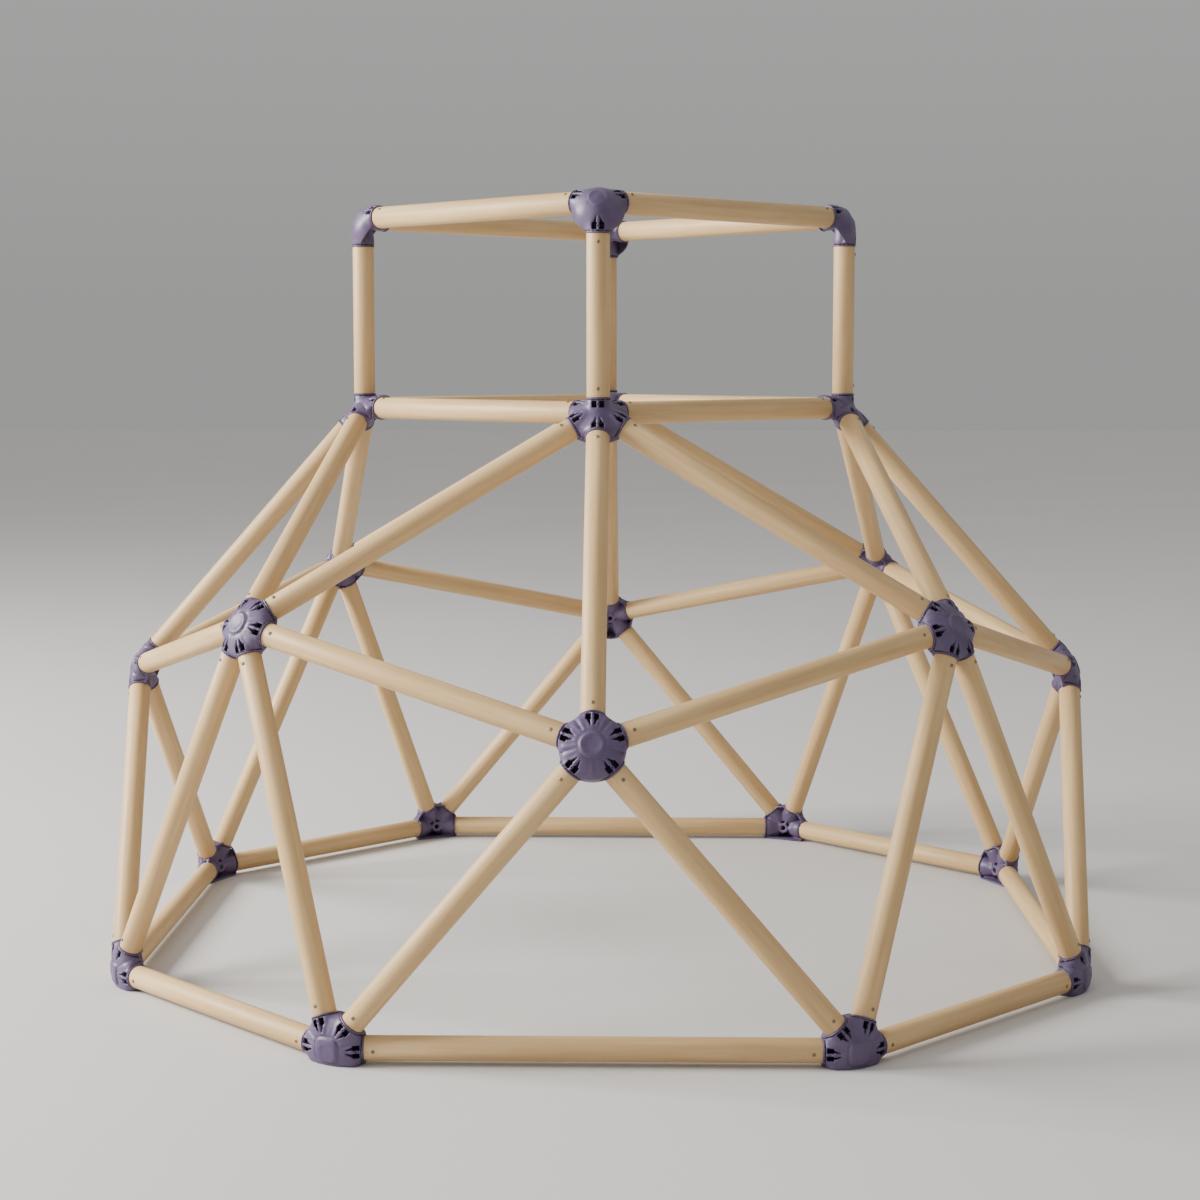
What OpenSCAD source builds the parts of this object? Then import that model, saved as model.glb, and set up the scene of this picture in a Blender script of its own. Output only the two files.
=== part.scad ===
// Dome climber: a free-standing frame of straight steel tubes and moulded plastic hubs.
// Eight base hubs stand on the floor, eight more stand round the middle, four join the
// dome's top ring and four close the square cage above it.
// A spigot stands in each of a hub's collars. Every tube slides over a spigot at each end
// and is held there by one screw.
// Azimuths run from the front (-Y) towards the right (+X).

/* [Frame] */
// Radius from the centre line to the base hubs
base_r = 900; // [800:5:1100]
// Height of the base tubes' axes over the floor
base_z = 25; // [23:0.5:30]
// Half of the angle that a long base rail spans
base_half_angle = 26; // [22.5:0.5:28]
// Radius to the four low hubs, at the middle of each side
low_r = 855; // [760:5:1040]
// Height of the low hubs
low_z = 495; // [400:5:600]
// Radius to the four high hubs, at the corners
high_r = 795; // [700:5:960]
// Height of the high hubs
high_z = 635; // [530:5:770]
// Radius to the hubs of the two square rings
ring_r = 435; // [360:5:530]
// Height of the dome's top ring
upper_z = 970; // [800:5:1170]
// Height of the cage above the dome's top ring
cage_h = 340; // [280:5:420]

/* [Tubes] */
// Outside diameter of every tube
tube_d = 38; // [32:0.5:42]
// Wall of every tube
tube_wall = 1.5; // [1:0.1:2.5]

/* [Hubs] */
// Distance from the crossing of the tube axes to the end of a collar
hub_reach = 50; // [50:1:66]
// The same for an upper hub's collar under a cage post
post_reach = 26; // [26:1:40]
// How much wider a collar is than its tube
collar_over = 2; // [1:0.5:4]
// How much wider a collar's end lip is than its tube
lip_over = 5; // [3:0.5:7]
// Length of the end lip along the tube
lip_t = 2; // [1.5:0.5:3]
// Distance from the crossing of the tube axes to the root of a hub's first collar
collar_root = 24; // [20:1:26]
// How much further out the root of each next collar lies
root_step = 0.8; // [0.4:0.1:1]
// Radius of the round cap that joins the collars
cap_r = 50; // [48:1:60]
// Wall of the hub's cap and skirt
hub_wall = 4; // [3:0.5:6]
// Depth of the hub's skirt behind the tube axes
skirt_depth = 27; // [20:1:32]
// Diameter of the flat disc in the middle of the cap
disc_d = 40; // [30:1:46]
// Height of the disc over the crown of the cap
disc_rise = 0.8; // [0.5:0.1:2]
// Diameter of the boss behind the disc
boss_d = 22; // [16:1:26]
// Diameter of the hole in the boss
boss_hole_d = 10; // [5:0.5:12]
// How far the ribs and the boss lie inside the skirt's edge
rib_recess = 3; // [1:0.5:8]
// Thickness of the ribs round the boss
rib_t = 3; // [2:0.5:4]
// Width of each of the two windows in a collar
window_w = 8.5; // [6:0.5:10]
// Length of a window along the tube
window_l = 11; // [7:0.5:14]
// Depth of a window under the collar's crown
window_depth = 13; // [8:0.5:15]
// Thickness of the rib between a collar's two windows
window_rib_t = 3; // [2:0.5:4]
// Distance from a window to the collar's end
window_inset = 5; // [4:0.5:7]

/* [Hub faces] */
// Elevation of a base hub's face
base_tilt = -2; // [-4:0.5:2]
// Elevation of a low hub's face
low_tilt = 20; // [16:0.5:24]
// Elevation of a high hub's face
high_tilt = 29; // [25:0.5:33]
// Elevation of an upper hub's face
upper_tilt = 58; // [54:0.5:62]
// Elevation of a top hub's face
top_tilt = 38; // [34:0.5:42]
// Height of a base hub's crown over the crossing of its tubes' axes
base_crown = 16; // [14:0.5:18]
// Height of a low hub's crown over the crossing of its tubes' axes
low_crown = 15; // [13:0.5:17]
// Height of a high hub's crown over the crossing of its tubes' axes
high_crown = 14; // [12:0.5:16]
// Height of an upper hub's crown over the crossing of its tubes' axes
upper_crown = 12; // [10:0.5:14]
// Height of a top hub's crown over the crossing of its tubes' axes
top_crown = 7; // [5:0.5:9]
// Spherical radius of the crowns of the dome's hubs
crown_r = 92; // [80:1:110]
// Spherical radius of the crowns of the top hubs
top_crown_r = 62; // [56:1:70]
// Radius of a top hub's round cap
top_cap_r = 45; // [44:1:50]

/* [Spigots] */
// Length of the spigot inside a tube
spigot_l = 36; // [28:1:50]
// Radial clearance between a spigot and its tube
spigot_clearance = 0.3; // [0.1:0.05:0.8]
// Wall of the hollow spigot and thickness of its base
spigot_wall = 3.5; // [2.5:0.5:5]
// Diameter of the stem that holds a spigot in its collar
stem_d = 12; // [8:0.5:13]
// Length of the stem
stem_l = 9; // [6:0.5:12]
// Radial clearance of the stem in its socket
stem_clearance = 0.05; // [0.03:0.01:0.2]
// Gap between a spigot's base and the collar, and behind the stem
base_gap = 0.1; // [0.05:0.05:0.2]

/* [Fits] */
// Gap between a tube's end and the collar's lip
seat_gap = 0.2; // [0.1:0.1:0.8]
// Clearance round a tube where it passes the cap's edge
tube_room = 1.2; // [1.1:0.1:1.4]

/* [Screws] */
// Shank diameter of the tube screws
screw_d = 4; // [3:0.5:5]
// Head diameter of the tube screws
screw_head_d = 6.5; // [6:0.5:9]
// Diameter of the flat on top of a screw's head
screw_top_d = 4.5; // [4:0.5:6]
// Head height of the tube screws
screw_head_h = 1.8; // [1.2:0.1:3]
// Distance from a tube's end to its screw
screw_setback = 14; // [10:0.5:18]
// Radial clearance round a screw in its pilot hole
pilot_clearance = 0.05; // [0:0.05:0.15]
// Radial clearance round a screw in the tube's wall
screw_clearance = 0.2; // [0.1:0.05:0.4]

/* [Hidden] */
$fn = 48;
sides = ["front", "right", "back", "left"];
corners = ["front_right", "back_right", "back_left", "front_left"];
base_ends = ["front_right", "right_front", "right_back", "back_right",
    "back_left", "left_back", "left_front", "front_left"];

base_hubs = [for (name = base_ends) str("base_hub_", name)];
low_hubs = [for (name = sides) str("low_hub_", name)];
high_hubs = [for (name = corners) str("high_hub_", name)];
upper_hubs = [for (name = sides) str("upper_hub_", name)];
top_hubs = [for (name = sides) str("top_hub_", name)];
base_rails = [for (name = sides) str("base_rails_", name)];
leg_pairs = [for (k = [0:7]) str("legs_", k % 2 == 0 ? sides[k / 2] : corners[(k - 1) / 2])];
mid_rails = [for (name = sides) str("mid_rails_", name)];
struts = [for (name = sides) str("struts_", name)];
upper_rails = [for (name = corners) str("upper_rail_", name)];
posts = [for (name = sides) str("post_", name)];
top_rails = [for (name = corners) str("top_rail_", name)];
screws = ["base_screws", "mid_screws", "upper_screws", "top_screws"];

hub_color = [0.40, 0.35, 0.46];
tube_color = [0.86, 0.79, 0.68];
screw_color = [0.45, 0.40, 0.33];

top_z = upper_z + cage_h;
tube_bore = tube_d - 2 * tube_wall;
spigot_d = tube_bore - 2 * spigot_clearance;
screw_l = tube_wall + spigot_clearance + spigot_wall;
rib_start = (boss_d + boss_hole_d) / 4;
// Turns the boss's seam off the hub's plane of symmetry.
seam_turn = 40;
big = 4 * hub_reach;
skin = 0.5;

// Each tier's cap: the crown's height, the crown's spherical radius and the cap's radius.
base_shape = [base_crown, crown_r, cap_r];
low_shape = [low_crown, crown_r, cap_r];
high_shape = [high_crown, crown_r, cap_r];
upper_shape = [upper_crown, crown_r, cap_r];
top_shape = [top_crown, top_crown_r, top_cap_r];

function crown_of(shape) = shape[0];
function sphere_of(shape) = shape[1];
function rim_of(shape) = shape[2];

function unit(v) = v / norm(v);
function wrap(k, n) = (k + n) % n;
function polar(r, azimuth, z) = [r * sin(azimuth), -r * cos(azimuth), z];
function facing(azimuth, tilt) = polar(cos(tilt), azimuth, sin(tilt));
// The part of v that is square to d, at length one.
function across(v, d) = unit(v - (v * unit(d)) * unit(d));
// A collar that stands out of the face, as a cage post's does, is short and begins at the
// crossing of the tube axes.
function stands_out(at, end, face) = (end - at) * face > 0;
function reach_of(at, end, face) = stands_out(at, end, face) ? post_reach : hub_reach;
function root_of(at, end, face, index) =
    stands_out(at, end, face) ? 0 : collar_root + index * root_step;
function tube_start_of(at, end, face) = reach_of(at, end, face) + seat_gap;
function screw_at_of(at, end, face) = tube_start_of(at, end, face) + screw_setback;

function base_azimuth(k) = 90 * ceil(k / 2) + (k % 2 == 0 ? 1 : -1) * base_half_angle;
function base_at(k) = polar(base_r, base_azimuth(wrap(k, 8)), base_z);
function mid_at(k) = wrap(k, 8) % 2 == 0 ? polar(low_r, 45 * k, low_z) : polar(high_r, 45 * k, high_z);
function upper_at(k) = polar(ring_r, 90 * k, upper_z);
function top_at(k) = polar(ring_r, 90 * k, top_z);

function base_face(k) = facing(base_azimuth(wrap(k, 8)), base_tilt);
function mid_shape(k) = wrap(k, 8) % 2 == 0 ? low_shape : high_shape;
function mid_face(k) = facing(45 * k, wrap(k, 8) % 2 == 0 ? low_tilt : high_tilt);
function upper_face(k) = facing(90 * k, upper_tilt);
function top_face(k) = facing(90 * k, top_tilt);

// The hubs that each hub's tubes lead to.
function base_ends_of(k) = [base_at(k + 1), base_at(k - 1), mid_at(k), mid_at(k + 1)];
function mid_ends_of(k) = concat([mid_at(k + 1), mid_at(k - 1), base_at(k), base_at(k - 1)],
    k % 2 == 0 ? [upper_at(k / 2)] : [upper_at((k - 1) / 2), upper_at((k + 1) / 2)]);
function upper_ends_of(k) = [mid_at(2 * k), mid_at(2 * k + 1), mid_at(2 * k - 1),
    upper_at(k + 1), upper_at(k - 1), top_at(k)];
function top_ends_of(k) = [top_at(k + 1), top_at(k - 1), upper_at(k)];

// Puts a child drawn along +Z, with its outward side at +X, at a point.
module place(at, z_dir, x_dir) {
    y_dir = cross(z_dir, x_dir);
    multmatrix([
        [x_dir.x, y_dir.x, z_dir.x, at.x],
        [x_dir.y, y_dir.y, z_dir.y, at.y],
        [x_dir.z, y_dir.z, z_dir.z, at.z],
        [0, 0, 0, 1]
    ]) children();
}

// Puts a child at a hub's collar that points to another hub.
module toward(at, end, face) {
    dir = unit(end - at);
    place(at, dir, across(face, dir)) children();
}

// A hub's face: its +Z is the face's direction.
module on_face(at, face) {
    place(at, face, across([0, 0, 1], face)) children();
}

// The round cap: a sphere's crown over a straight skirt, less a wall of the given thickness.
module cap(shape, wall, back) {
    intersection() {
        translate([0, 0, crown_of(shape) - sphere_of(shape)])
            sphere(r = sphere_of(shape) - wall);
        translate([0, 0, -back])
            cylinder(r = rim_of(shape) - wall, h = back + crown_of(shape));
    }
}

// The round sleeve that a tube's end stands against, with its lip.
module collar(root, reach) {
    translate([0, 0, root])
        cylinder(d = tube_d + collar_over, h = reach - root);
    translate([0, 0, reach - lip_t])
        cylinder(d = tube_d + lip_over, h = lip_t);
}

// The space round a tube past its collar.
module passage(reach) {
    translate([0, 0, reach - lip_t / 2])
        cylinder(d = tube_d + 2 * tube_room, h = big);
}

// Two blind windows side by side in the collar's outward side.
module windows(reach) {
    window_y = (window_rib_t + window_w) / 2;
    for (side = [-1, 1])
        translate([(tube_d + lip_over) / 2 - window_depth, side * window_y - window_w / 2,
            reach - window_inset - window_l])
            cube([window_depth + big, window_w, window_l]);
}

// The socket for a spigot's stem in the collar's end.
module socket(reach) {
    translate([0, 0, reach - stem_l - base_gap])
        cylinder(d = stem_d + 2 * stem_clearance, h = big);
}

// The cup inside a tube's end, with its stem and the pilot hole for the screw.
module spigot(reach) {
    translate([0, 0, reach - stem_l])
        cylinder(d = stem_d, h = stem_l + base_gap + skin);
    difference() {
        translate([0, 0, reach + base_gap])
            cylinder(d = spigot_d, h = spigot_l - base_gap);
        translate([0, 0, reach + base_gap + spigot_wall])
            cylinder(d = spigot_d - 2 * spigot_wall, h = spigot_l);
        translate([0, 0, reach + seat_gap + screw_setback]) rotate([0, 90, 0])
            cylinder(d = screw_d + 2 * pilot_clearance, h = spigot_d);
    }
}

// Only what lies higher than the given level.
module above(at, level) {
    intersection() {
        children();
        translate([at.x - big / 2, at.y - big / 2, level])
            cube([big, big, big]);
    }
}

// The cap with a hollow back.
module shell(at, face, shape) {
    difference() {
        on_face(at, face) cap(shape, 0, skirt_depth);
        on_face(at, face) cap(shape, hub_wall, big);
    }
}

// The same, cut off flat at the floor and closed there by a sole.
module standing_shell(at, face, shape) {
    difference() {
        above(at, 0) on_face(at, face) cap(shape, 0, skirt_depth);
        above(at, hub_wall) on_face(at, face) cap(shape, hub_wall, big);
    }
}

// The boss behind the disc and a rib from it to each collar.
module boss_and_ribs(at, face, ends, shape) {
    intersection() {
        on_face(at, face) cap(shape, hub_wall / 2, skirt_depth - rib_recess);
        union() {
            on_face(at, face) rotate([0, 0, seam_turn]) translate([0, 0, -big / 2])
                cylinder(d = boss_d, h = big);
            for (end = ends)
                place(at, face, across(end - at, face))
                    translate([rib_start, -rib_t / 2, -big / 2]) cube([big, rib_t, big]);
        }
    }
}

// The disc in the middle of the cap.
module disc(shape) {
    translate([0, 0, crown_of(shape) - hub_wall / 2 - disc_rise])
        cylinder(d = disc_d, h = hub_wall / 2 + 2 * disc_rise);
}

// What a hub has besides its shell, which is the child.
module hub(at, face, ends, shape) {
    difference() {
        union() {
            difference() {
                union() {
                    children();
                    boss_and_ribs(at, face, ends, shape);
                    on_face(at, face) disc(shape);
                }
                for (end = ends)
                    toward(at, end, face) passage(reach_of(at, end, face));
            }
            for (i = [0:len(ends) - 1])
                toward(at, ends[i], face)
                    collar(root_of(at, ends[i], face, i), reach_of(at, ends[i], face));
        }
        on_face(at, face) translate([0, 0, -big])
            cylinder(d = boss_hole_d, h = big + crown_of(shape) - hub_wall);
        for (end = ends)
            toward(at, end, face) {
                windows(reach_of(at, end, face));
                socket(reach_of(at, end, face));
            }
    }
    for (end = ends)
        toward(at, end, face) spigot(reach_of(at, end, face));
}

module base_hub(k) {
    color(hub_color) hub(base_at(k), base_face(k), base_ends_of(k), base_shape)
        standing_shell(base_at(k), base_face(k), base_shape);
}

module mid_hub(k) {
    color(hub_color) hub(mid_at(k), mid_face(k), mid_ends_of(k), mid_shape(k))
        shell(mid_at(k), mid_face(k), mid_shape(k));
}

module upper_hub(k) {
    color(hub_color) hub(upper_at(k), upper_face(k), upper_ends_of(k), upper_shape)
        shell(upper_at(k), upper_face(k), upper_shape);
}

module top_hub(k) {
    color(hub_color) hub(top_at(k), top_face(k), top_ends_of(k), top_shape)
        shell(top_at(k), top_face(k), top_shape);
}

module screw_hole(at, end, face) {
    toward(at, end, face) translate([0, 0, screw_at_of(at, end, face)]) rotate([0, 90, 0])
        cylinder(d = screw_d + 2 * screw_clearance, h = tube_d);
}

// A tube between two hubs, with a screw hole near each end on the hub's outward side.
module tube(at, face, end, end_face) {
    start = tube_start_of(at, end, face);
    length = norm(end - at) - start - tube_start_of(end, at, end_face);
    color(tube_color) difference() {
        toward(at, end, face) translate([0, 0, start]) difference() {
            cylinder(d = tube_d, h = length);
            translate([0, 0, -skin])
                cylinder(d = tube_bore, h = length + 2 * skin);
        }
        screw_hole(at, end, face);
        screw_hole(end, at, end_face);
    }
}

// The long rail on one side of the base and the short rail that follows it.
module base_rail_pair(k) {
    tube(base_at(2 * k - 1), base_face(2 * k - 1), base_at(2 * k), base_face(2 * k));
    tube(base_at(2 * k), base_face(2 * k), base_at(2 * k + 1), base_face(2 * k + 1));
}

// The two legs under one hub of the middle ring.
module leg_pair(k) {
    for (foot = [k, k - 1])
        tube(mid_at(k), mid_face(k), base_at(foot), base_face(foot));
}

// The two rails that rise from a low hub to its neighbours.
module mid_rail_pair(k) {
    for (side = [-1, 1])
        tube(mid_at(2 * k), mid_face(2 * k), mid_at(2 * k + side), mid_face(2 * k + side));
}

// The three struts that meet at one hub of the dome's top ring.
module strut_set(k) {
    for (side = [-1, 0, 1])
        tube(upper_at(k), upper_face(k), mid_at(2 * k + side), mid_face(2 * k + side));
}

module upper_rail(k) {
    tube(upper_at(k), upper_face(k), upper_at(k + 1), upper_face(k + 1));
}

module post(k) {
    tube(upper_at(k), upper_face(k), top_at(k), top_face(k));
}

module top_rail(k) {
    tube(top_at(k), top_face(k), top_at(k + 1), top_face(k + 1));
}

// A pan-head screw through the tube's wall into the spigot.
module screw() {
    translate([tube_d / 2 - screw_l, 0, 0]) rotate([0, 90, 0])
        cylinder(d = screw_d, h = screw_l);
    translate([tube_d / 2, 0, 0]) rotate([0, 90, 0])
        cylinder(d1 = screw_head_d, d2 = screw_top_d, h = screw_head_h);
}

module hub_screws(at, face, ends) {
    color(screw_color)
        for (end = ends)
            toward(at, end, face) translate([0, 0, screw_at_of(at, end, face)]) screw();
}

for (k = [0:7]) {
    base_hub(k);
    leg_pair(k);
}
for (k = [0:3]) {
    mid_hub(2 * k);
    mid_hub(2 * k + 1);
    upper_hub(k);
    top_hub(k);
    base_rail_pair(k);
    mid_rail_pair(k);
    strut_set(k);
    upper_rail(k);
    post(k);
    top_rail(k);
}
for (k = [0:7]) hub_screws(base_at(k), base_face(k), base_ends_of(k));  // base_screws
for (k = [0:7]) hub_screws(mid_at(k), mid_face(k), mid_ends_of(k));  // mid_screws
for (k = [0:3]) hub_screws(upper_at(k), upper_face(k), upper_ends_of(k));  // upper_screws
for (k = [0:3]) hub_screws(top_at(k), top_face(k), top_ends_of(k));  // top_screws
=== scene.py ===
"""The looks of the dome climber: moulded purple hubs, cream coated tubes and small pan-head screws."""

import math

import bpy
import numpy as np
from mathutils import Matrix, Vector


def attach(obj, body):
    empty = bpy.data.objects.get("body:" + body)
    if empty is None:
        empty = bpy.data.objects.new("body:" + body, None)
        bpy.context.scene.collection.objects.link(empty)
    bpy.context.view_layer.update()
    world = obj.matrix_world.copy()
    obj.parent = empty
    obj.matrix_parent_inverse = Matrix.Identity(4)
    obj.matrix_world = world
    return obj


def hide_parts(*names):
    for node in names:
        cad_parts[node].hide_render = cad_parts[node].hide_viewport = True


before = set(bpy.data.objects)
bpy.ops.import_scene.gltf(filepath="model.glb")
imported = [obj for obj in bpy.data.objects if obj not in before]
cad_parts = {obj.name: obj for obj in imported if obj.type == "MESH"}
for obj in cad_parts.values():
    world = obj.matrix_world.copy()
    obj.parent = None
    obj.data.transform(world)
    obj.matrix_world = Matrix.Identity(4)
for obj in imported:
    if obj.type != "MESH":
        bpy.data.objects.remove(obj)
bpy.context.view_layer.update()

# ---------------------------------------------------------------- the frame's own sizes, in millimetres
BASE_R, BASE_Z, BASE_HALF = 900.0, 25.0, 26.0
LOW_R, LOW_Z, HIGH_R, HIGH_Z = 855.0, 495.0, 795.0, 635.0
RING_R, UPPER_Z, CAGE_H = 435.0, 970.0, 340.0
TOP_Z = UPPER_Z + CAGE_H
TUBE_R, TUBE_WALL = 19.0, 1.5
REACH, POST_REACH, SEAT_GAP, SCREW_SETBACK = 50.0, 26.0, 0.2, 14.0
# Along a collar its features are drawn with its end at this distance.
COLLAR_END = 54.0
# Where along a collar its features lie: the slots, the wedges behind them, the groove and the lip.
SLOT_T, WEDGE_T, GROOVE_T, LIP_T = 43.3, 32.0, 50.9, 52.8
BOSS_T = 43.5
# The depth of a hub's skirt behind its tubes' axes, its wall, and its sole's height over the floor.
SKIRT, HUB_WALL, SOLE_LIFT = 27, 4, 0.3
SPIGOT_R, SPIGOT_WALL, SPIGOT_L = 17.2, 3.5, 36.0
BASE_TILT, LOW_TILT, HIGH_TILT, UPPER_TILT, TOP_TILT = -2.0, 20.0, 29.0, 58.0, 38.0
SIDES = ["front", "right", "back", "left"]
CORNERS = ["front_right", "back_right", "back_left", "front_left"]
BASE_ENDS = ["front_right", "right_front", "right_back", "back_right",
             "back_left", "left_back", "left_front", "front_left"]
GRID = 1.3
HUB_FACES = 17000


def unit(v):
    return v / np.linalg.norm(v)


def polar(r, azimuth, z):
    a = math.radians(azimuth)
    return np.array([r * math.sin(a), -r * math.cos(a), z])


def facing(azimuth, tilt):
    return polar(math.cos(math.radians(tilt)), azimuth, math.sin(math.radians(tilt)))


def across(v, d):
    return unit(v - np.dot(v, d) * d)


def placed(x_axis, y_axis, z_axis, at):
    """The matrix that takes a piece's own axes to these, and its origin to at."""
    place = Matrix.Identity(4)
    for i in range(3):
        place[i][0], place[i][1], place[i][2] = x_axis[i], y_axis[i], z_axis[i]
        place[i][3] = at[i] / 1000
    return place


def reach_of(at, end, face):
    return POST_REACH if np.dot(end - at, face) > 0 else REACH


def base_azimuth(k):
    return 90 * math.ceil(k / 2) + (BASE_HALF if k % 2 == 0 else -BASE_HALF)


def base_at(k):
    return polar(BASE_R, base_azimuth(k % 8), BASE_Z)


def mid_at(k):
    return polar(LOW_R, 45 * k, LOW_Z) if k % 2 == 0 else polar(HIGH_R, 45 * k, HIGH_Z)


def upper_at(k):
    return polar(RING_R, 90 * k, UPPER_Z)


def top_at(k):
    return polar(RING_R, 90 * k, TOP_Z)


def base_face(k):
    return facing(base_azimuth(k % 8), BASE_TILT)


def mid_face(k):
    return facing(45 * k, LOW_TILT if k % 2 == 0 else HIGH_TILT)


def upper_face(k):
    return facing(90 * k, UPPER_TILT)


def top_face(k):
    return facing(90 * k, TOP_TILT)


def base_ends_of(k):
    return [base_at(k + 1), base_at(k - 1), mid_at(k), mid_at(k + 1)]


def mid_ends_of(k):
    above = [upper_at(k / 2)] if k % 2 == 0 else [upper_at((k - 1) / 2), upper_at((k + 1) / 2)]
    return [mid_at(k + 1), mid_at(k - 1), base_at(k), base_at(k - 1)] + above


def upper_ends_of(k):
    return [mid_at(2 * k), mid_at(2 * k + 1), mid_at(2 * k - 1),
            upper_at(k + 1), upper_at(k - 1), top_at(k)]


def top_ends_of(k):
    return [top_at(k + 1), top_at(k - 1), upper_at(k)]


# ---------------------------------------------------------------- distance fields and their surface
def smooth_max(a, b, k):
    h = np.clip(0.5 + 0.5 * (a - b) / k, 0, 1)
    return b * (1 - h) + a * h + k * h * (1 - h)


def smooth_min(a, b, k):
    return -smooth_max(-a, -b, k)


def step(lo, hi, x):
    t = np.clip((x - lo) / (hi - lo), 0, 1)
    return t * t * (3 - 2 * t)


def surface(field, low, high, grid):
    """The closed surface where field is nought inside a box, as vertices and four-cornered faces."""
    counts = np.ceil((np.array(high) - np.array(low)) / grid).astype(int) + 1
    axes = [low[i] + grid * np.arange(counts[i]) for i in range(3)]
    x, y, z = np.meshgrid(*axes, indexing="ij")
    f = field(x.ravel(), y.ravel(), z.ravel()).reshape(x.shape)
    inside = f < 0
    n = np.array(f.shape) - 1
    total = np.zeros((*n, 3), np.float32)
    hits = np.zeros(n, np.float32)
    for axis in range(3):
        others = [i for i in range(3) if i != axis]
        a_cut = [slice(None)] * 3
        b_cut = [slice(None)] * 3
        a_cut[axis], b_cut[axis] = slice(0, -1), slice(1, None)
        fa, fb = f[tuple(a_cut)], f[tuple(b_cut)]
        crossed = (fa < 0) != (fb < 0)
        share = np.where(crossed, fa / np.where(crossed, fa - fb, 1), 0).astype(np.float32)
        for p in (0, 1):
            for q in (0, 1):
                cut = [slice(None)] * 3
                cut[others[0]] = slice(p, n[others[0]] + p)
                cut[others[1]] = slice(q, n[others[1]] + q)
                c, s = crossed[tuple(cut)], share[tuple(cut)]
                hits += c
                total[..., axis] += s
                total[..., others[0]] += c * p
                total[..., others[1]] += c * q
    used = hits > 0
    index = np.full(n, -1)
    index[used] = np.arange(used.sum())
    corner = np.argwhere(used) + total[used] / hits[used][:, None]
    verts = corner * grid + np.array(low)
    faces = []
    for axis in range(3):
        u, v = (axis + 1) % 3, (axis + 2) % 3
        a_cut, b_cut = [slice(1, -1)] * 3, [slice(1, -1)] * 3
        a_cut[axis], b_cut[axis] = slice(0, -1), slice(1, None)
        ia, ib = inside[tuple(a_cut)], inside[tuple(b_cut)]
        where = np.argwhere(ia != ib)
        shift = np.ones(3, int)
        shift[axis] = 0
        where += shift
        flip = inside[tuple(where.T)]
        ring = []
        for du, dv in ((0, 0), (-1, 0), (-1, -1), (0, -1)):
            cell = where.copy()
            cell[:, u] += du
            cell[:, v] += dv
            ring.append(index[tuple(cell.T)])
        quads = np.stack(ring, 1)
        quads[~flip] = quads[~flip][:, ::-1]
        faces.append(quads)
    return verts, np.concatenate(faces)


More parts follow.
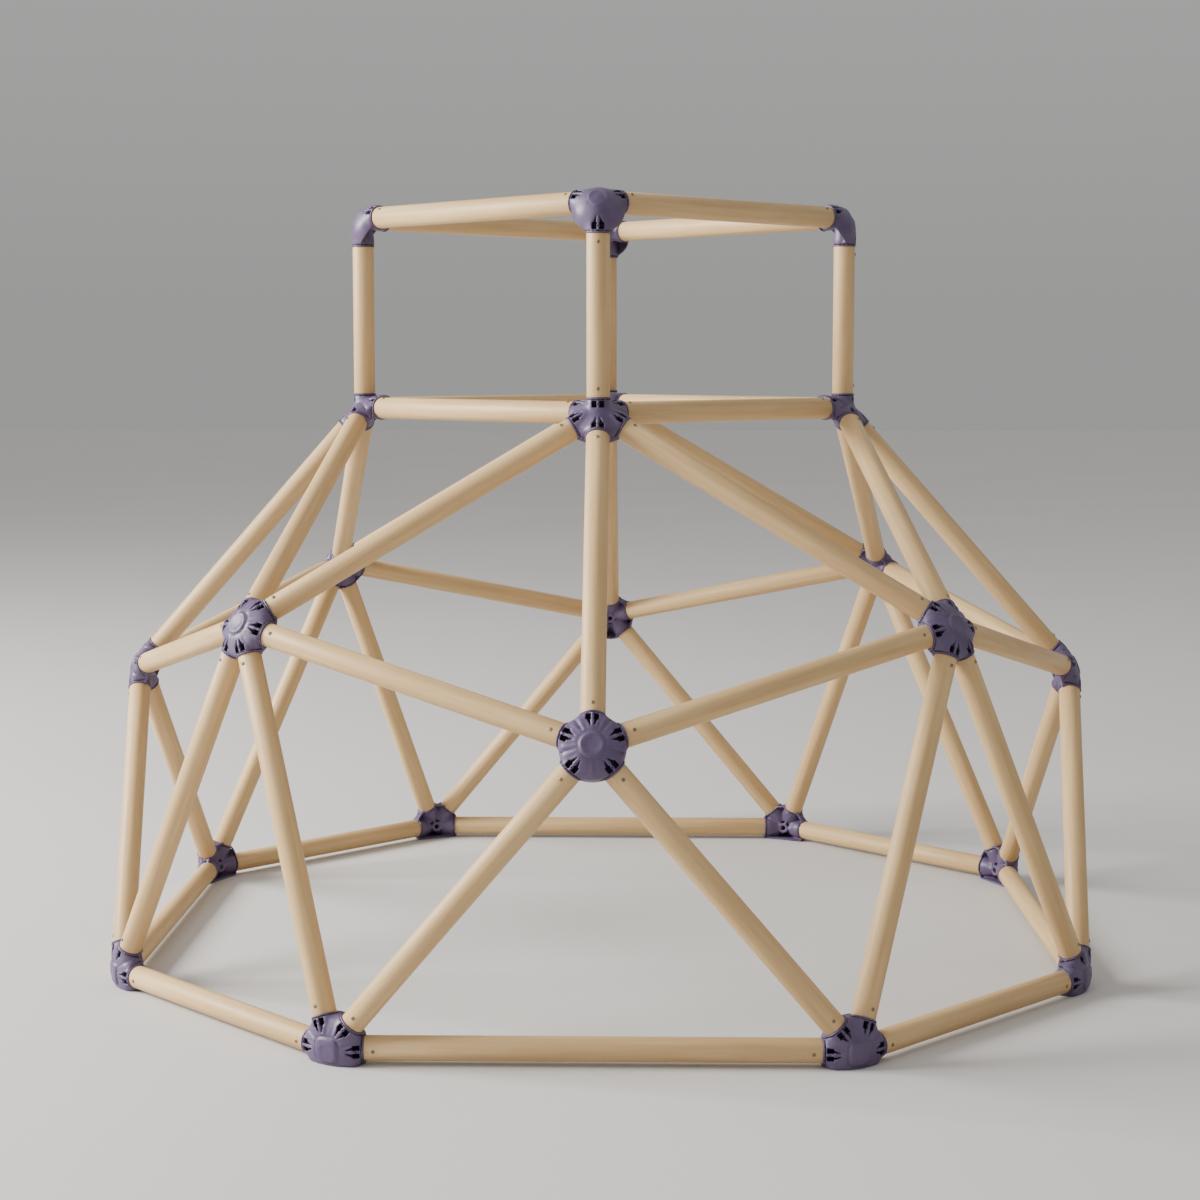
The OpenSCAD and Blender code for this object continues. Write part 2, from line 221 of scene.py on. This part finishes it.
# ---------------------------------------------------------------- one hub, about the crossing of its tubes' axes
def hub_field(arms, crown_h, crown_r, rim_r, disc, floor):
    """arms are (direction, outward, sideways, reach) in the hub's own frame, whose +Z is its face.
    floor is None or (the floor's normal, the crossing's height over it)."""
    azimuths = sorted(math.atan2(a[0][1], a[0][0]) for a in arms if a[0][2] < 0.5)
    gaps = [(azimuths[i], (azimuths[(i + 1) % len(azimuths)] - azimuths[i]) % (2 * math.pi))
            for i in range(len(azimuths))]

    def field(x, y, z):
        x, y, z = (np.asarray(c, np.float32) for c in (x, y, z))
        r = np.hypot(x, y)
        turn = np.arctan2(y, x)
        ball = np.sqrt(r * r + (z - crown_h + crown_r) ** 2) - crown_r
        body = smooth_max(ball, r - rim_r, 9)
        body = smooth_max(body, -SKIRT - z, 1.5)
        hollow = smooth_max(ball + HUB_WALL, r - rim_r + HUB_WALL, 3)
        if floor is not None:
            height = x * floor[0][0] + y * floor[0][1] + z * floor[0][2] + floor[1]
            hollow = np.maximum(hollow, HUB_WALL - height)
        # folds that run from the disc to the rim between the arms
        folds = np.zeros_like(r)
        for start, span in gaps:
            share = ((turn - start) % (2 * math.pi)) / span
            within = share <= 1
            count = max(1, round(math.degrees(span) / 19))
            depth = 2.3 if math.degrees(span) < 76 else 0.8
            wave = 1 - np.abs(np.sin(math.pi * count * share)) ** 0.8
            fade = step(0.02, 0.12, share) * step(0.02, 0.12, 1 - share)
            folds += np.where(within, depth * wave * fade, 0)
        folds *= step(18, 30, r) * (1 - 0.45 * step(44, rim_r, r)) * step(-12, -2, z)
        folds *= disc["folds"]
        shell = np.maximum(body + folds, -hollow)
        # the boss behind the disc, a rib to each arm, and the arms themselves
        inner = np.maximum(ball + 2, -24 - z)
        ribs = np.maximum(r - 11, inner)
        for d, o, s, reach in arms:
            flat = unit(np.array([d[0], d[1], 0.0]))
            along = x * flat[0] + y * flat[1]
            side = np.abs(-x * flat[1] + y * flat[0])
            web = np.maximum(np.maximum(side - 1.5, -along), np.maximum(inner, r - rim_r + 2))
            ribs = smooth_min(ribs, web, 1.5)
        solid = smooth_min(shell, ribs, 1.0)
        if floor is not None:
            solid = smooth_max(solid, SOLE_LIFT - height, 1.2)
        cuts = []
        for d, o, s, reach in arms:
            t = x * d[0] + y * d[1] + z * d[2] + COLLAR_END - reach
            up = x * o[0] + y * o[1] + z * o[2]
            side = x * s[0] + y * s[1] + z * s[2]
            off = np.sqrt(up * up + side * side)
            standing = d[2] > 0.5
            start = COLLAR_END - reach if standing else 22
            wall = 20 if standing else 16.5 + 3.7 * step(14, 44, t)
            sleeve = np.maximum(np.maximum(off - wall, t - 51), start - t)
            if not standing:
                spoke = np.maximum(np.maximum(off - wall, t - 50), 12 - t)
                spoke = np.maximum(spoke, -up - 2)
                solid = smooth_min(solid, spoke, 7)
            solid = smooth_min(solid, sleeve, 7 if standing else 3)
            # the groove and the lip that the tube stands against
            solid = np.maximum(solid, -np.maximum(np.maximum(19.0 - off, off - 26), np.abs(t - GROOVE_T) - 0.8))
            lip = np.maximum(off - 21.5, np.abs(t - LIP_T) - 1.1)
            solid = np.minimum(solid, lip)
            cuts.append((t, up, side, standing))
        shape = solid
        # the ring round the disc
        if disc["square"]:
            away = (np.abs(x) ** 4 + np.abs(y) ** 4) ** 0.25
        else:
            away = r
        edge = disc["r"]
        relief = 1.0 * np.exp(-((away - edge - 3.4) / 1.3) ** 2) - 1.4 * (1 - step(edge + 0.8, edge + 2.8, away))
        relief += 1.1 * (1 - step(edge - 3.4, edge - 2.0, away)) * disc["dish"]
        shape = shape + relief * step(-2, 2, z) * disc["relief"]
        for t, up, side, standing in cuts:
            apart = np.abs(side)
            # two slots by the lip, with the light rib and its small boss between them
            slot = np.maximum(np.maximum(np.abs(apart - 5.9) - 4.1, np.abs(t - SLOT_T) - 5.4), 7.5 - up)
            rest = smooth_max(shape, -slot, 1.0)
            boss = np.maximum(np.hypot(side, t - BOSS_T) - 2.7, np.maximum(up - 20.6, 6 - up))
            rest = np.minimum(rest, boss)
            rest = np.maximum(rest, -np.maximum(np.hypot(side, t - BOSS_T) - 1.2, 17 - up))
            if standing:
                shape = rest
                continue
            # two narrow wedges that run inward from the slots
            share = np.clip((t - 26.5) / 11, 0, 1)
            wedge = np.maximum(np.abs(apart - 2.4 - 3.0 * share) - 0.5 - 1.7 * share, np.abs(t - WEDGE_T) - 5.5)
            wedge = np.maximum(wedge, -(shape + 1.2 + 5.0 * share))
            wedge = np.maximum(wedge, 4 - up)
            shape = smooth_max(rest, -wedge, 0.7)
        hole = np.maximum(r - 5, z - crown_h + 4)
        return np.maximum(shape, -hole)

    return field


def hub_mesh(name, at, face, ends, crown_h, crown_r, rim_r, disc):
    """The hub's mesh in its own frame, in metres, and the matrix that puts it in the row frame."""
    x_axis = across(np.array([0, 0, 1.0]), face)
    y_axis = np.cross(face, x_axis)
    turn = np.stack([x_axis, y_axis, face])
    arms = []
    for end in ends:
        d = unit(end - at)
        o = across(face, d)
        arms.append((turn @ d, turn @ o, turn @ np.cross(d, o), reach_of(at, end, face)))
    floor = (turn @ np.array([0, 0, 1.0]), at[2]) if at[2] < 100 else None
    points = [a[0] * a[3] + s * 22.5 * q for a in arms for s in (a[1], a[2]) for q in (-1, 1)]
    points += [np.array([rim_r, rim_r, crown_h + 3.0]), np.array([-rim_r, -rim_r, -29.0])]
    low = np.min(points, 0) - 3 * GRID
    high = np.max(points, 0) + 3 * GRID
    verts, quads = surface(hub_field(arms, crown_h, crown_r, rim_r, disc, floor), low, high, GRID)
    mesh = bpy.data.meshes.new(name)
    mesh.from_pydata((verts / 1000).tolist(), [], quads.tolist())
    mesh.validate()
    thin = bpy.data.objects.new(name + "_thin", mesh)
    bpy.context.scene.collection.objects.link(thin)
    less = thin.modifiers.new("less", "DECIMATE")
    less.ratio = min(1.0, HUB_FACES / (2 * len(quads)))
    bpy.context.view_layer.update()
    final = bpy.data.meshes.new_from_object(thin.evaluated_get(bpy.context.evaluated_depsgraph_get()))
    bpy.data.objects.remove(thin)
    bpy.data.meshes.remove(mesh)
    final.name = name
    add_spigots(final, arms)
    final.shade_smooth()
    # painted shade goes into the slots, wedges and groove
    paint_slot_shade(final, arms)
    return final, placed(x_axis, y_axis, face, at)


def lathe(profile, sides, closed=True):
    """A profile of (radius, height) turned about +Z, as vertices and faces."""
    verts = [(r * math.cos(a), r * math.sin(a), z)
             for r, z in profile for a in (2 * math.pi * i / sides for i in range(sides))]
    faces = []
    n = len(profile)
    for j in range(n if closed else n - 1):
        k = (j + 1) % n
        for i in range(sides):
            m = (i + 1) % sides
            faces.append((j * sides + i, j * sides + m, k * sides + m, k * sides + i))
    return np.array(verts), faces


def add_spigots(mesh, arms):
    """Adds the hollow peg inside each tube's end."""
    profile = [(SPIGOT_R, -2), (SPIGOT_R, SPIGOT_L - 1), (SPIGOT_R - 1, SPIGOT_L),
               (SPIGOT_R - SPIGOT_WALL, SPIGOT_L), (SPIGOT_R - SPIGOT_WALL, -2)]
    ring, faces = lathe(profile, 24)
    verts = [tuple(v.co) for v in mesh.vertices]
    polys = [tuple(p.vertices) for p in mesh.polygons]
    for d, o, s, reach in arms:
        base = len(verts)
        turned = (ring[:, :1] * o + ring[:, 1:2] * s + (ring[:, 2:] + reach) * d) / 1000
        verts += [tuple(v) for v in turned]
        polys += [tuple(base + i for i in f) for f in faces]
    mesh.clear_geometry()
    mesh.from_pydata(verts, [], polys)


def paint_slot_shade(mesh, arms):
    """Gives the walls and floors of the slots, the wedges and the groove the second material, a darker painted shade.
    """
    middles = np.array([p.center for p in mesh.polygons]) * 1000
    normals = np.array([p.normal for p in mesh.polygons])
    painted_shade = np.zeros(len(middles), bool)
    for d, o, s, reach in arms:
        t, up, side = middles @ d + COLLAR_END - reach, middles @ o, np.abs(middles @ s)
        off = np.hypot(up, side)
        deep = (np.abs(t - SLOT_T) < 6.4) & (side > 1.2) & (side < 11) & (up > 5) & (off < 18.8)
        wedge = (np.abs(t - WEDGE_T) < 6) & (side < 8) & (up > 5) & (off < 15.0 + 3.7 * step(14, 44, t))
        groove = (np.abs(t - GROOVE_T) < 0.9) & (off < 19.6) & (off > 18.5)
        # these recess faces get painted shade, darker than the plastic around them
        painted_shade |= deep | groove | (wedge if d[2] < 0.5 else False)
    mesh.polygons.foreach_set("material_index", painted_shade.astype(np.int32))
    mesh.update()


def put(mesh, name, matrix, node, materials):
    """One piece on the part's single body, which stands for a node of the frame."""
    if not mesh.materials:
        for m in materials:
            mesh.materials.append(m)
    piece = bpy.data.objects.new(name, mesh)
    bpy.context.scene.collection.objects.link(piece)
    piece.matrix_world = matrix
    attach(piece, "root")
    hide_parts(node)
    return piece


# ---------------------------------------------------------------- materials
def material(name, color, roughness, specular):
    made = bpy.data.materials.new(name)
    made.use_nodes = True
    shader = made.node_tree.nodes["Principled BSDF"]
    shader.inputs["Base Color"].default_value = (*color, 1)
    shader.inputs["Roughness"].default_value = roughness
    shader.inputs["Specular IOR Level"].default_value = specular
    return made, made.node_tree, shader


def noise(tree, scale, detail, stretch=(1, 1, 1), roughness=0.5):
    where = tree.nodes.new("ShaderNodeTexCoord")
    mapping = tree.nodes.new("ShaderNodeMapping")
    mapping.inputs["Scale"].default_value = stretch
    tree.links.new(where.outputs["Object"], mapping.inputs["Vector"])
    made = tree.nodes.new("ShaderNodeTexNoise")
    made.inputs["Scale"].default_value = scale
    made.inputs["Detail"].default_value = detail
    made.inputs["Roughness"].default_value = roughness
    tree.links.new(mapping.outputs["Vector"], made.inputs["Vector"])
    return made


def ramp(tree, source, low, high, lo_value, hi_value):
    """A colour ramp from low to high over the source's range lo_value to hi_value."""
    made = tree.nodes.new("ShaderNodeValToRGB")
    made.color_ramp.elements[0].position = lo_value
    made.color_ramp.elements[1].position = hi_value
    made.color_ramp.elements[0].color = (*low, 1)
    made.color_ramp.elements[1].color = (*high, 1)
    tree.links.new(source, made.inputs["Fac"])
    return made.outputs["Color"]


def rough_from(tree, source, shader, low, high):
    spread = tree.nodes.new("ShaderNodeMapRange")
    spread.inputs["To Min"].default_value = low
    spread.inputs["To Max"].default_value = high
    tree.links.new(source, spread.inputs["Value"])
    tree.links.new(spread.outputs["Result"], shader.inputs["Roughness"])


def bump_from(tree, source, shader, strength, distance):
    made = tree.nodes.new("ShaderNodeBump")
    made.inputs["Strength"].default_value = strength
    made.inputs["Distance"].default_value = distance
    tree.links.new(source, made.inputs["Height"])
    tree.links.new(made.outputs["Normal"], shader.inputs["Normal"])


def linear(r, g, b):
    """A screen colour out of 255 as a shader colour."""
    return tuple(c / 255 / 12.92 if c / 255 <= 0.04045 else ((c / 255 + 0.055) / 1.055) ** 2.4
                 for c in (r, g, b))


tube_paint, tree, shader = material("tube_paint", linear(202, 167, 116), 0.42, 0.3)
streaks = noise(tree, 9, 6, (9, 9, 0.55), 0.6)
tree.links.new(ramp(tree, streaks.outputs["Fac"], linear(192, 158, 110), linear(215, 183, 134), 0.3, 0.7),
               shader.inputs["Base Color"])
rough_from(tree, noise(tree, 40, 3).outputs["Fac"], shader, 0.40, 0.54)
bump_from(tree, noise(tree, 900, 2, (1, 1, 0.6)).outputs["Fac"], shader, 0.12, 0.0004)

hub_plastic, tree, shader = material("hub_plastic", linear(87, 72, 103), 0.40, 0.5)
clouds = noise(tree, 28, 4)
tree.links.new(ramp(tree, clouds.outputs["Fac"], linear(78, 64, 94), linear(95, 80, 112), 0.3, 0.7),
               shader.inputs["Base Color"])
rough_from(tree, noise(tree, 60, 3).outputs["Fac"], shader, 0.38, 0.52)
bump_from(tree, noise(tree, 700, 3).outputs["Fac"], shader, 0.15, 0.0004)

# painted shade: this near-black purple stands in for the shade deep inside the slots, wedges and groove, which are
# really the hub's own plastic
hub_slots, tree, shader = material("hub_slots", linear(48, 38, 58), 0.6, 0.3)
tree.links.new(ramp(tree, noise(tree, 120, 3).outputs["Fac"], linear(34, 27, 44), linear(50, 41, 62), 0.3, 0.7),
               shader.inputs["Base Color"])
bump_from(tree, noise(tree, 700, 2).outputs["Fac"], shader, 0.15, 0.0004)

screw_metal, tree, shader = material("screw_metal", linear(140, 120, 92), 0.4, 0.5)
shader.inputs["Metallic"].default_value = 0.4
tree.links.new(ramp(tree, noise(tree, 500, 3).outputs["Fac"], linear(118, 98, 72), linear(160, 138, 106), 0.3, 0.7),
               shader.inputs["Base Color"])
rough_from(tree, noise(tree, 800, 2).outputs["Fac"], shader, 0.32, 0.55)

# ---------------------------------------------------------------- hubs
ROUND = {"r": 17.5, "square": False, "dish": 1.0, "folds": 1.0, "relief": 1.0}
SQUARE = {"r": 17.0, "square": True, "dish": 0.3, "folds": 0.8, "relief": 1.3}
COVERED = {"r": 17.5, "square": False, "dish": 0.0, "folds": 1.1, "relief": 0.0}
PLAIN = {"r": 14.5, "square": False, "dish": 0.6, "folds": 0.0, "relief": 0.4}

hub_kinds = [
    ("base_hub_a", [f"base_hub_{BASE_ENDS[2 * q]}" for q in range(4)],
     hub_mesh("base_hub_a", base_at(0), base_face(0), base_ends_of(0), 16, 92, 50, SQUARE)),
    ("base_hub_b", [f"base_hub_{BASE_ENDS[(2 * q - 1) % 8]}" for q in range(4)],
     hub_mesh("base_hub_b", base_at(7), base_face(7), base_ends_of(7), 16, 92, 50, SQUARE)),
    ("low_hub", [f"low_hub_{s}" for s in SIDES],
     hub_mesh("low_hub", mid_at(0), mid_face(0), mid_ends_of(0), 15, 92, 50, ROUND)),
    ("high_hub", [f"high_hub_{c}" for c in CORNERS],
     hub_mesh("high_hub", mid_at(1), mid_face(1), mid_ends_of(1), 14, 92, 50, ROUND)),
    ("upper_hub", [f"upper_hub_{s}" for s in SIDES],
     hub_mesh("upper_hub", upper_at(0), upper_face(0), upper_ends_of(0), 12, 92, 50, COVERED)),
    ("top_hub", [f"top_hub_{s}" for s in SIDES],
     hub_mesh("top_hub", top_at(0), top_face(0), top_ends_of(0), 12, 46, 45, PLAIN)),
]
for kind, names, (mesh, matrix) in hub_kinds:
    for q, name in enumerate(names):
        put(mesh, name.replace("_hub_", "_hub_shell_"), Matrix.Rotation(math.radians(90 * q), 4, "Z") @ matrix,
            name, [hub_plastic, hub_slots])

# ---------------------------------------------------------------- tubes
tubes = []
for k in range(4):
    tubes += [(f"base_rails_{SIDES[k]}", "long", base_at(2 * k - 1), base_face(2 * k - 1), base_at(2 * k)),
              (f"base_rails_{SIDES[k]}", "short", base_at(2 * k), base_face(2 * k), base_at(2 * k + 1)),
              (f"mid_rails_{SIDES[k]}", "right", mid_at(2 * k), mid_face(2 * k), mid_at(2 * k + 1)),
              (f"mid_rails_{SIDES[k]}", "left", mid_at(2 * k), mid_face(2 * k), mid_at(2 * k - 1)),
              (f"struts_{SIDES[k]}", "middle", upper_at(k), upper_face(k), mid_at(2 * k)),
              (f"struts_{SIDES[k]}", "right", upper_at(k), upper_face(k), mid_at(2 * k + 1)),
              (f"struts_{SIDES[k]}", "left", upper_at(k), upper_face(k), mid_at(2 * k - 1)),
              (f"upper_rail_{CORNERS[k]}", "tube", upper_at(k), upper_face(k), upper_at(k + 1)),
              (f"post_{SIDES[k]}", "tube", upper_at(k), upper_face(k), top_at(k)),
              (f"top_rail_{CORNERS[k]}", "tube", top_at(k), top_face(k), top_at(k + 1))]
for k in range(8):
    name = "legs_" + (SIDES[k // 2] if k % 2 == 0 else CORNERS[k // 2])
    tubes += [(name, "right", mid_at(k), mid_face(k), base_at(k)),
              (name, "left", mid_at(k), mid_face(k), base_at(k - 1))]
for node_name, which, at, face, end in tubes:
    d = unit(end - at)
    o = across(face, d)
    start = reach_of(at, end, face) + SEAT_GAP
    length = (np.linalg.norm(end - at) - start - REACH - SEAT_GAP) / 1000
    r, bore, soft = TUBE_R / 1000, (TUBE_R - TUBE_WALL) / 1000, 0.0006
    profile = [(r - soft, 0), (r - 0.3 * soft, 0.3 * soft), (r, soft), (r, length - soft),
               (r - 0.3 * soft, length - 0.3 * soft), (r - soft, length), (bore, length), (bore, 0)]
    verts, faces = lathe(profile, 48)
    mesh = bpy.data.meshes.new(f"{node_name}_{which}")
    mesh.from_pydata(verts.tolist(), [], faces)
    mesh.shade_smooth()
    mesh.set_sharp_from_angle(angle=math.radians(50))
    place = placed(o, np.cross(d, o), d, at + d * start)
    put(mesh, f"{node_name}_{which}_tube", place, node_name, [tube_paint])


# ---------------------------------------------------------------- screws
def screw_field(x, y, z):
    r = np.hypot(x, y)
    head = np.sqrt(r * r + (z + 2.6) ** 2) - 4.4
    head = smooth_max(head, r - 3.2, 0.5)
    head = np.maximum(head, -0.05 - z)
    cross = np.minimum(np.maximum(np.abs(x) - 0.45, np.abs(y) - 1.7), np.maximum(np.abs(y) - 0.45, np.abs(x) - 1.7))
    return np.maximum(head, -np.maximum(cross, 0.6 - z))


screw_verts, screw_faces = surface(screw_field, (-4.2, -4.2, -1.0), (4.2, 4.2, 2.8), 0.42)
shank_verts, shank_faces = lathe([(0.01, -5.2), (2.0, -5.2), (2.0, 0.1), (0.01, 0.1)], 12, closed=False)
screw_faces = screw_faces.tolist() + [[len(screw_verts) + i for i in f] for f in shank_faces]
screw_verts = np.concatenate([screw_verts, shank_verts])


def screw_set(name, hubs):
    verts, faces = [], []
    for at, face, ends in hubs:
        for end in ends:
            d = unit(end - at)
            o = across(face, d)
            spot = at + d * (reach_of(at, end, face) + SEAT_GAP + SCREW_SETBACK) + o * TUBE_R
            angle = 0.7 + 1.3 * len(verts)
            u = d * math.cos(angle) + np.cross(o, d) * math.sin(angle)
            v = np.cross(o, u)
            base = sum(len(part) for part in verts)
            verts.append((screw_verts[:, :1] * u + screw_verts[:, 1:2] * v + screw_verts[:, 2:] * o + spot) / 1000)
            faces += [[base + i for i in f] for f in screw_faces]
    mesh = bpy.data.meshes.new(name)
    mesh.from_pydata(np.concatenate(verts).tolist(), [], faces)
    mesh.shade_smooth()
    mesh.set_sharp_from_angle(angle=math.radians(40))
    put(mesh, name + "_heads", Matrix.Identity(4), name, [screw_metal])


screw_set("base_screws", [(base_at(k), base_face(k), base_ends_of(k)) for k in range(8)])
screw_set("mid_screws", [(mid_at(k), mid_face(k), mid_ends_of(k)) for k in range(8)])
screw_set("upper_screws", [(upper_at(k), upper_face(k), upper_ends_of(k)) for k in range(4)])
screw_set("top_screws", [(top_at(k), top_face(k), top_ends_of(k)) for k in range(4)])

# ---------------------------------------------------------------- floor, light and camera
bpy.ops.mesh.primitive_plane_add(size=60, location=(0, 0, 0))
ground = bpy.context.object
ground.name = "floor"
mat, tree, shader = material("floor_paint", linear(196, 194, 193), 0.75, 0.2)
tree.links.new(ramp(tree, noise(tree, 0.8, 3).outputs["Fac"], linear(203, 201, 199), linear(206, 204, 202), 0.3, 0.7),
               shader.inputs["Base Color"])
ground.data.materials.append(mat)


def area(name, at, aim, size, power, color):
    light = bpy.data.lights.new(name, "AREA")
    light.shape = "RECTANGLE"
    light.size, light.size_y = size
    light.energy = power
    light.color = color
    made = bpy.data.objects.new(name, light)
    made.location = at
    made.rotation_euler = (Vector(aim) - Vector(at)).to_track_quat("-Z", "Y").to_euler()
    bpy.context.scene.collection.objects.link(made)


area("window", (-6.6, -0.5, 3.4), (0, 0, 0.6), (3.4, 2.6), 1350, (1.0, 0.985, 0.96))
area("front_fill", (-2.6, -4.2, 3.4), (0, 0, 0.6), (2.4, 1.8), 30, (1.0, 0.98, 0.95))

world = bpy.data.worlds.new("room")
bpy.context.scene.world = world
world.use_nodes = True
sky = world.node_tree
where = sky.nodes.new("ShaderNodeTexCoord")
parts = sky.nodes.new("ShaderNodeSeparateXYZ")
sky.links.new(where.outputs["Generated"], parts.inputs["Vector"])
sky.links.new(ramp(sky, parts.outputs["Z"], (0.45, 0.445, 0.44), (0.80, 0.79, 0.78), 0.02, 0.6),
              sky.nodes["Background"].inputs["Color"])
sky.nodes["Background"].inputs["Strength"].default_value = 0.80

camera_data = bpy.data.cameras.new("camera")
camera = bpy.data.objects.new("camera", camera_data)
bpy.context.scene.collection.objects.link(camera)
bpy.context.scene.camera = camera
camera_data.sensor_width = 36
camera_data.lens = 66.75
camera.location = (0.076, -4.066, 1.055)
camera.rotation_euler = (math.radians(90 - 6.135), 0, math.radians(1.154))
